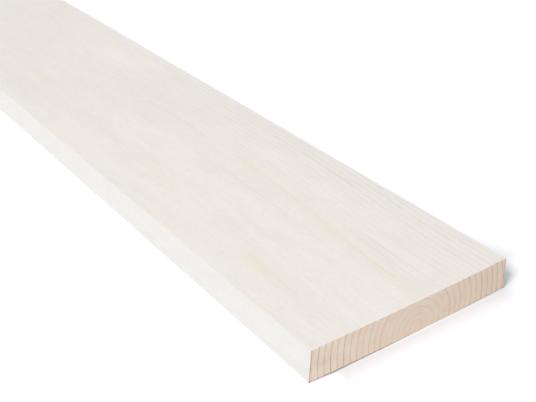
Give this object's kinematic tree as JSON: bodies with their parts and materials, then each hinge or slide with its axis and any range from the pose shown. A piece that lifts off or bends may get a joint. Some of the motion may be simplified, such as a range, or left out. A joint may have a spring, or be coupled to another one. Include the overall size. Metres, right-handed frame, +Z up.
{
  "type": "timber plank",
  "caption": "Straight planed softwood board with a thin white finish, eased long arrises and bare square-sawn ends, for shelving, cladding, trim and general joinery.",
  "frame": {"origin": "centre of the underside, on the surface that the board lies on", "axes": "+X along the board's length, towards the end that shows in the picture, +Y across its width, +Z up through its thickness"},
  "size_m": [1.8, 0.145, 0.022],
  "materials": {
    "whitewashed_spruce": "planed and thinly whitewashed on its faces and edges, bare sawn wood on its ends"
  },
  "bodies": {
    "root": {"plank": "whitewashed_spruce"}
  },
  "joints": []
}
